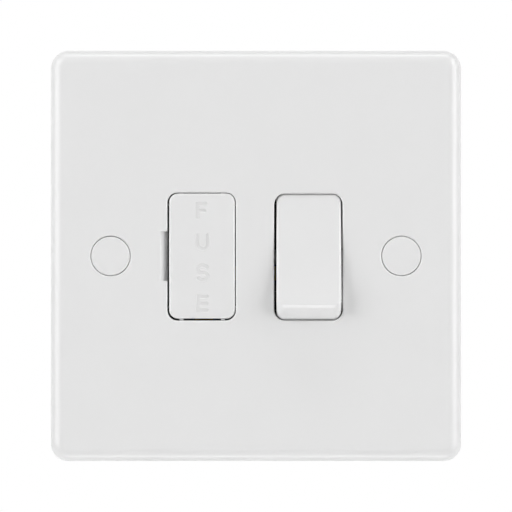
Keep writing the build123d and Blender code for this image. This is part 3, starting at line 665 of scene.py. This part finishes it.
carve("lettered_drawer", "fuse_carrier", letters, urea_white, "fuse_drawer")

# %% [markdown]
# ## Terminal marks on the housing
# Behind, each terminal has its usual mark beside the screw well: L, N, or the earth sign. They are small
# sunk strokes, read from behind, so the drawing is mirrored across X.

# %% Terminal marks
MARK_HALF_STROKE = 0.16
MARK_DEPTH = 0.2
MARK_LIP = 0.05
MARK_Z = 16.05
MARK_TOP = 0.75
L_LEFT = -0.45
L_RIGHT = 0.5
N_HALF = 0.6
EARTH_STEM = (0.85, 0.05)
EARTH_BARS = ((0.85, 0), (0.5, -0.45), (0.15, -0.9))

signs = {
    "live": [[(L_LEFT, MARK_TOP), (L_LEFT, -MARK_TOP), (L_RIGHT, -MARK_TOP)]],
    "neutral": [[(-N_HALF, -MARK_TOP), (-N_HALF, MARK_TOP), (N_HALF, -MARK_TOP), (N_HALF, MARK_TOP)]],
    "earth": [[(0, up) for up in EARTH_STEM]] + [[(-half, up), (half, up)] for half, up in EARTH_BARS],
}
marks = []
for name in blocks:
    low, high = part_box(name)
    side = 1 if low.z > 0 else -1
    middle = (low.x + high.x) / 2 / MM
    marks.append(((middle, side * MARK_Z), signs[name.split("_")[1]]))
sunk = strokes_cutter(marks, MARK_HALF_STROKE, MARK_DEPTH, MARK_LIP, back_y, inward=-1, mirror=-1)
carve("marked_housing", "rear_housing", sunk, phenolic, "unit")

# %% [markdown]
# ## Flats on the rocker
# Where the rocker's dished face meets an end wall, the rounded edge has a narrow polished flat. It is
# less than a tenth of a millimetre deep, but it catches the low panel as one bright line across the
# rocker. A bevel would take every edge of that sharpness, so a block cuts just these two: its face lies
# square to a set direction, a little below the point that sticks out farthest that way.

# %% Flats on the rocker
FLAT_TURN = 48.25
FLAT_DEPTH = 0.05
BLOCK = 40 * MM

flats = bmesh.new()
skin = [vertex.co.copy() for vertex in nodes["rocker"].data.vertices]
rest_tilt = joints["rocker_tilt"]["range_deg"][1] / 2
for way in (-1, 1):
    lift = math.radians(rest_tilt + way * FLAT_TURN)
    outward = Vector((0, -math.cos(lift), math.sin(lift)))
    reach = max(outward.dot(spot) for spot in skin) - FLAT_DEPTH * MM
    centre = Matrix.Translation(outward * (reach + BLOCK / 2))
    turn = outward.to_track_quat("Z", "X").to_matrix().to_4x4()
    bmesh.ops.create_cube(flats, size=BLOCK, matrix=centre @ turn)
carve("flat_edged_rocker", "rocker", flats, urea_white, "switch_rocker")

# %% [markdown]
# ## Springs
# Each plunger in the rocker is backed by a coil of drawn wire. When the plunger slides in, its coil gets
# shorter by just that much. Here each coil is a smooth-shaded copy of its solid that rides on the rocker's
# body.

# %% Springs
for pole in ("live", "neutral"):
    slide = joints[pole + "_plunger_slide"]
    outward = Vector(slide["axis"])
    coil = place(pole + "_coil", merged(pole + "_spring"))
    smooth(coil.data)
    reach = [outward.dot(vertex.co) for vertex in coil.data.vertices]
    stand_in(coil, wire, "switch_rocker", pole + "_spring")
    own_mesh(coil)

# %% [markdown]
# ## Screws
# Six clamping screws with a slot and four assembly screws with a cross recess repeat one rule: a turned
# head with a rounded edge, a recess, a core and a helical thread. A Geometry Nodes tree with named sizes
# makes either kind, stands one on every point and turns each by its own angle, since nobody lines screws
# up.

# %% Screw tree and its sizes
SCREW_SIZES = (
    "Head diameter",
    "Head height",
    "Round start",
    "Round drop",
    "Slot length",
    "Slot width",
    "Slot depth",
    "Shank diameter",
    "Shank length",
    "Thread pitch",
)

screw = bpy.data.node_groups.new("turned_screw", "GeometryNodeTree")
screw.interface.new_socket("Points", in_out="INPUT", socket_type="NodeSocketGeometry")
for label in SCREW_SIZES:
    screw.interface.new_socket(label, in_out="INPUT", socket_type="NodeSocketFloat")
screw.interface.new_socket("Cross recess", in_out="INPUT", socket_type="NodeSocketBool")
screw.interface.new_socket("Seed", in_out="INPUT", socket_type="NodeSocketInt")
screw.interface.new_socket("Material", in_out="INPUT", socket_type="NodeSocketMaterial")
screw.interface.new_socket("Screws", in_out="OUTPUT", socket_type="NodeSocketGeometry")
given = add(screw, "NodeGroupInput").outputs


def along_axis(shape, height):
    """Moves a shape along the screw's own axis."""
    offset = add(screw, "ShaderNodeCombineXYZ", {"Z": height})
    moved = add(screw, "GeometryNodeTransform", {"Geometry": shape, "Translation": offset.outputs[0]})
    return moved.outputs[0]


print("screw tree with", len(SCREW_SIZES), "sizes")

# %% [markdown]
# The head starts as a cylinder with rings up its side. From a set share of its height the rings draw in,
# more and more towards the top, which rounds the edge as a form tool does.

# %% Screw head
HEAD_SIDES = 40
HEAD_RINGS = 8

radius = add(screw, "ShaderNodeMath", {0: given["Head diameter"], 1: 0.5}, operation="MULTIPLY")
middle = add(screw, "ShaderNodeMath", {0: given["Head height"], 1: 0.5}, operation="MULTIPLY")
blank = add(
    screw,
    "GeometryNodeMeshCylinder",
    {
        "Vertices": HEAD_SIDES,
        "Side Segments": HEAD_RINGS,
        "Radius": radius.outputs[0],
        "Depth": given["Head height"],
    },
)
raised = along_axis(blank.outputs["Mesh"], middle.outputs[0])
position = add(screw, "GeometryNodeInputPosition")
spot = add(screw, "ShaderNodeSeparateXYZ", {0: position.outputs[0]}).outputs
share = add(screw, "ShaderNodeMath", {0: spot["Z"], 1: given["Head height"]}, operation="DIVIDE")
late = add(
    screw,
    "ShaderNodeMapRange",
    {"Value": share.outputs[0], "From Min": given["Round start"], "From Max": 1.0},
)
square = add(screw, "ShaderNodeMath", {0: late.outputs[0], 1: 2.0}, operation="POWER")
bend = add(
    screw,
    "ShaderNodeMath",
    {0: square.outputs[0], 1: given["Round drop"]},
    operation="MULTIPLY",
)
keep = add(screw, "ShaderNodeMath", {0: 1.0, 1: bend.outputs[0]}, operation="SUBTRACT")
turned_x = add(screw, "ShaderNodeMath", {0: spot["X"], 1: keep.outputs[0]}, operation="MULTIPLY")
turned_y = add(screw, "ShaderNodeMath", {0: spot["Y"], 1: keep.outputs[0]}, operation="MULTIPLY")
turned = add(
    screw,
    "ShaderNodeCombineXYZ",
    {"X": turned_x.outputs[0], "Y": turned_y.outputs[0], "Z": spot["Z"]},
)
head = add(screw, "GeometryNodeSetPosition", {"Geometry": raised, "Position": turned.outputs[0]})
print("screw head", len(screw.nodes), "nodes")

# %% [markdown]
# A bar across the head cuts the slot, and a second one at right angles makes a cross of it. A switch
# takes the head with one cut or with both.

# %% Screw recess
twice = add(screw, "ShaderNodeMath", {0: given["Slot depth"], 1: 2.0}, operation="MULTIPLY")
cut_heads = [head.outputs[0]]
for across, over in (("Slot length", "Slot width"), ("Slot width", "Slot length")):
    size = add(
        screw,
        "ShaderNodeCombineXYZ",
        {"X": given[across], "Y": given[over], "Z": twice.outputs[0]},
    )
    bar = add(screw, "GeometryNodeMeshCube", {"Size": size.outputs[0]})
    cut = add(
        screw,
        "GeometryNodeMeshBoolean",
        {"Mesh 1": cut_heads[-1], "Mesh 2": along_axis(bar.outputs["Mesh"], given["Head height"])},
        operation="DIFFERENCE",
        solver="EXACT",
    )
    cut_heads.append(cut.outputs["Mesh"])
recessed = add(
    screw,
    "GeometryNodeSwitch",
    {"Switch": given["Cross recess"], "False": cut_heads[1], "True": cut_heads[2]},
    input_type="GEOMETRY",
)
print("screw recess", len(screw.nodes), "nodes")

# %% [markdown]
# The shank is a core with a ridge swept round it along a spiral. The ridge is a square on its corner,
# half sunk into the core, which leaves the sharp crest of a thread. Its middle line stops half a ridge's
# width short of both ends, so the ridge stays within the shank's length.

# %% Screw shank and thread
CORE_SHARE = 0.84
CORE_SIDES = 24
RIDGE_SIDES = 4
THREAD_STEPS = 20

shank = add(screw, "ShaderNodeMath", {0: given["Shank diameter"], 1: 0.5}, operation="MULTIPLY")
shank_r = shank.outputs[0]
core_r = add(screw, "ShaderNodeMath", {0: shank_r, 1: CORE_SHARE}, operation="MULTIPLY").outputs[0]
core = add(
    screw,
    "GeometryNodeMeshCylinder",
    {"Vertices": CORE_SIDES, "Radius": core_r, "Depth": given["Shank length"]},
)
half_down = add(screw, "ShaderNodeMath", {0: given["Shank length"], 1: -0.5}, operation="MULTIPLY")
core_low = along_axis(core.outputs["Mesh"], half_down.outputs[0])
ridge_r = add(screw, "ShaderNodeMath", {0: shank_r, 1: core_r}, operation="SUBTRACT").outputs[0]
margin = add(screw, "ShaderNodeMath", {0: ridge_r, 1: 2.0}, operation="MULTIPLY")
run = add(
    screw,
    "ShaderNodeMath",
    {0: given["Shank length"], 1: margin.outputs[0]},
    operation="SUBTRACT",
)
turns = add(screw, "ShaderNodeMath", {0: run.outputs[0], 1: given["Thread pitch"]}, operation="DIVIDE")
helix = add(
    screw,
    "GeometryNodeCurveSpiral",
    {
        "Resolution": THREAD_STEPS,
        "Rotations": turns.outputs[0],
        "Start Radius": core_r,
        "End Radius": core_r,
        "Height": run.outputs[0],
    },
)
ridge = add(screw, "GeometryNodeCurvePrimitiveCircle", {"Resolution": RIDGE_SIDES, "Radius": ridge_r})
thread = add(
    screw,
    "GeometryNodeCurveToMesh",
    {"Curve": helix.outputs[0], "Profile Curve": ridge.outputs[0], "Fill Caps": True},
)
down = add(screw, "ShaderNodeMath", {0: ridge_r, 1: given["Shank length"]}, operation="SUBTRACT")
thread_low = along_axis(thread.outputs[0], down.outputs[0])
print("screw shank", len(screw.nodes), "nodes")

# %% [markdown]
# The three shapes are joined, stood on every point with the head towards the back, turned by a random
# angle with a fixed seed, and made real, because the export drops instances.

# %% Screws on points
# sockets of a Random Value node that gives plain numbers
RANDOM_LOW = 2
RANDOM_HIGH = 3
RANDOM_RESULT = 1

joined = add(screw, "GeometryNodeJoinGeometry")
for shape in (recessed.outputs[0], core_low, thread_low):
    screw.links.new(shape, joined.inputs[0])
angle = add(
    screw,
    "FunctionNodeRandomValue",
    {RANDOM_LOW: 0.0, RANDOM_HIGH: math.pi, "Seed": given["Seed"]},
    data_type="FLOAT",
)
stand = add(screw, "ShaderNodeCombineXYZ", {"X": -math.pi / 2, "Y": angle.outputs[RANDOM_RESULT]})
screws = add(
    screw,
    "GeometryNodeInstanceOnPoints",
    {"Points": given["Points"], "Instance": joined.outputs[0], "Rotation": stand.outputs[0]},
)
solid = add(screw, "GeometryNodeRealizeInstances", {"Geometry": screws.outputs[0]})
plated = add(
    screw,
    "GeometryNodeSetMaterial",
    {"Geometry": solid.outputs[0], "Material": given["Material"]},
)
add(screw, "NodeGroupOutput", {0: plated.outputs[0]})
print("screw tree", len(screw.nodes), "nodes")

# %% [markdown]
# ## Put the screws in
# The points come from the CAD boxes: the clamping screws stand over the terminal blocks, the assembly
# screws in the four corners. The modifier's sizes are set by socket identifier, the result becomes one
# plain mesh, and the modifier goes away again. Round start and Round drop are shares of the head's height
# and radius.

# %% Driver
screw_keys = {item.name: item.identifier for item in screw.interface.items_tree if item.in_out == "INPUT"}


def drive(name, points, sizes, cross, seed, node):
    """Makes a set of screws on points and puts it in the place of a CAD node."""
    mesh = bpy.data.meshes.new(name + "_points")
    mesh.from_pydata(points, [], [])
    made = place(name, mesh)
    rule = made.modifiers.new("screws", "NODES")
    rule.node_group = screw
    for label, size in sizes.items():
        rule[screw_keys[label]] = size
    rule[screw_keys["Cross recess"]] = cross
    rule[screw_keys["Seed"]] = seed
    rule[screw_keys["Material"]] = zinc
    smooth(remade(made))
    stand_in(made, zinc, "unit", node)


print("inputs of the screw tree", len(screw_keys))

# %% Clamping screws
CLAMP_SIZES = {
    "Head diameter": 6.2 * MM,
    "Head height": 2.0 * MM,
    "Round start": 0.7,
    "Round drop": 0.08,
    "Slot length": 8.0 * MM,
    "Slot width": 0.9 * MM,
    "Slot depth": 1.0 * MM,
    "Shank diameter": 3.5 * MM,
    "Shank length": 3.3 * MM,
    "Thread pitch": 0.6 * MM,
}

clamp_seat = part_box("terminal_screws")[1].y - CLAMP_SIZES["Head height"]
clamp_points = []
for name in blocks:
    low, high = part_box(name)
    clamp_points.append(((low.x + high.x) / 2, clamp_seat, (low.z + high.z) / 2))
drive("clamping_screws", clamp_points, CLAMP_SIZES, cross=False, seed=7, node="terminal_screws")

# %% Assembly screws
HOLD_SIZES = {
    "Head diameter": 5.2 * MM,
    "Head height": 1.8 * MM,
    "Round start": 0.3,
    "Round drop": 0.32,
    "Slot length": 2.8 * MM,
    "Slot width": 0.7 * MM,
    "Slot depth": 1.0 * MM,
    "Shank diameter": 2.5 * MM,
    "Shank length": 11.0 * MM,
    "Thread pitch": 1.1 * MM,
}

low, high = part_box("assembly_screws")
hold_r = HOLD_SIZES["Head diameter"] / 2
hold_seat = high.y - HOLD_SIZES["Head height"]
hold_points = []
for x in (low.x + hold_r, high.x - hold_r):
    for z in (low.z + hold_r, high.z - hold_r):
        hold_points.append((x, hold_seat, z))
drive("cross_head_screws", hold_points, HOLD_SIZES, cross=True, seed=3, node="assembly_screws")
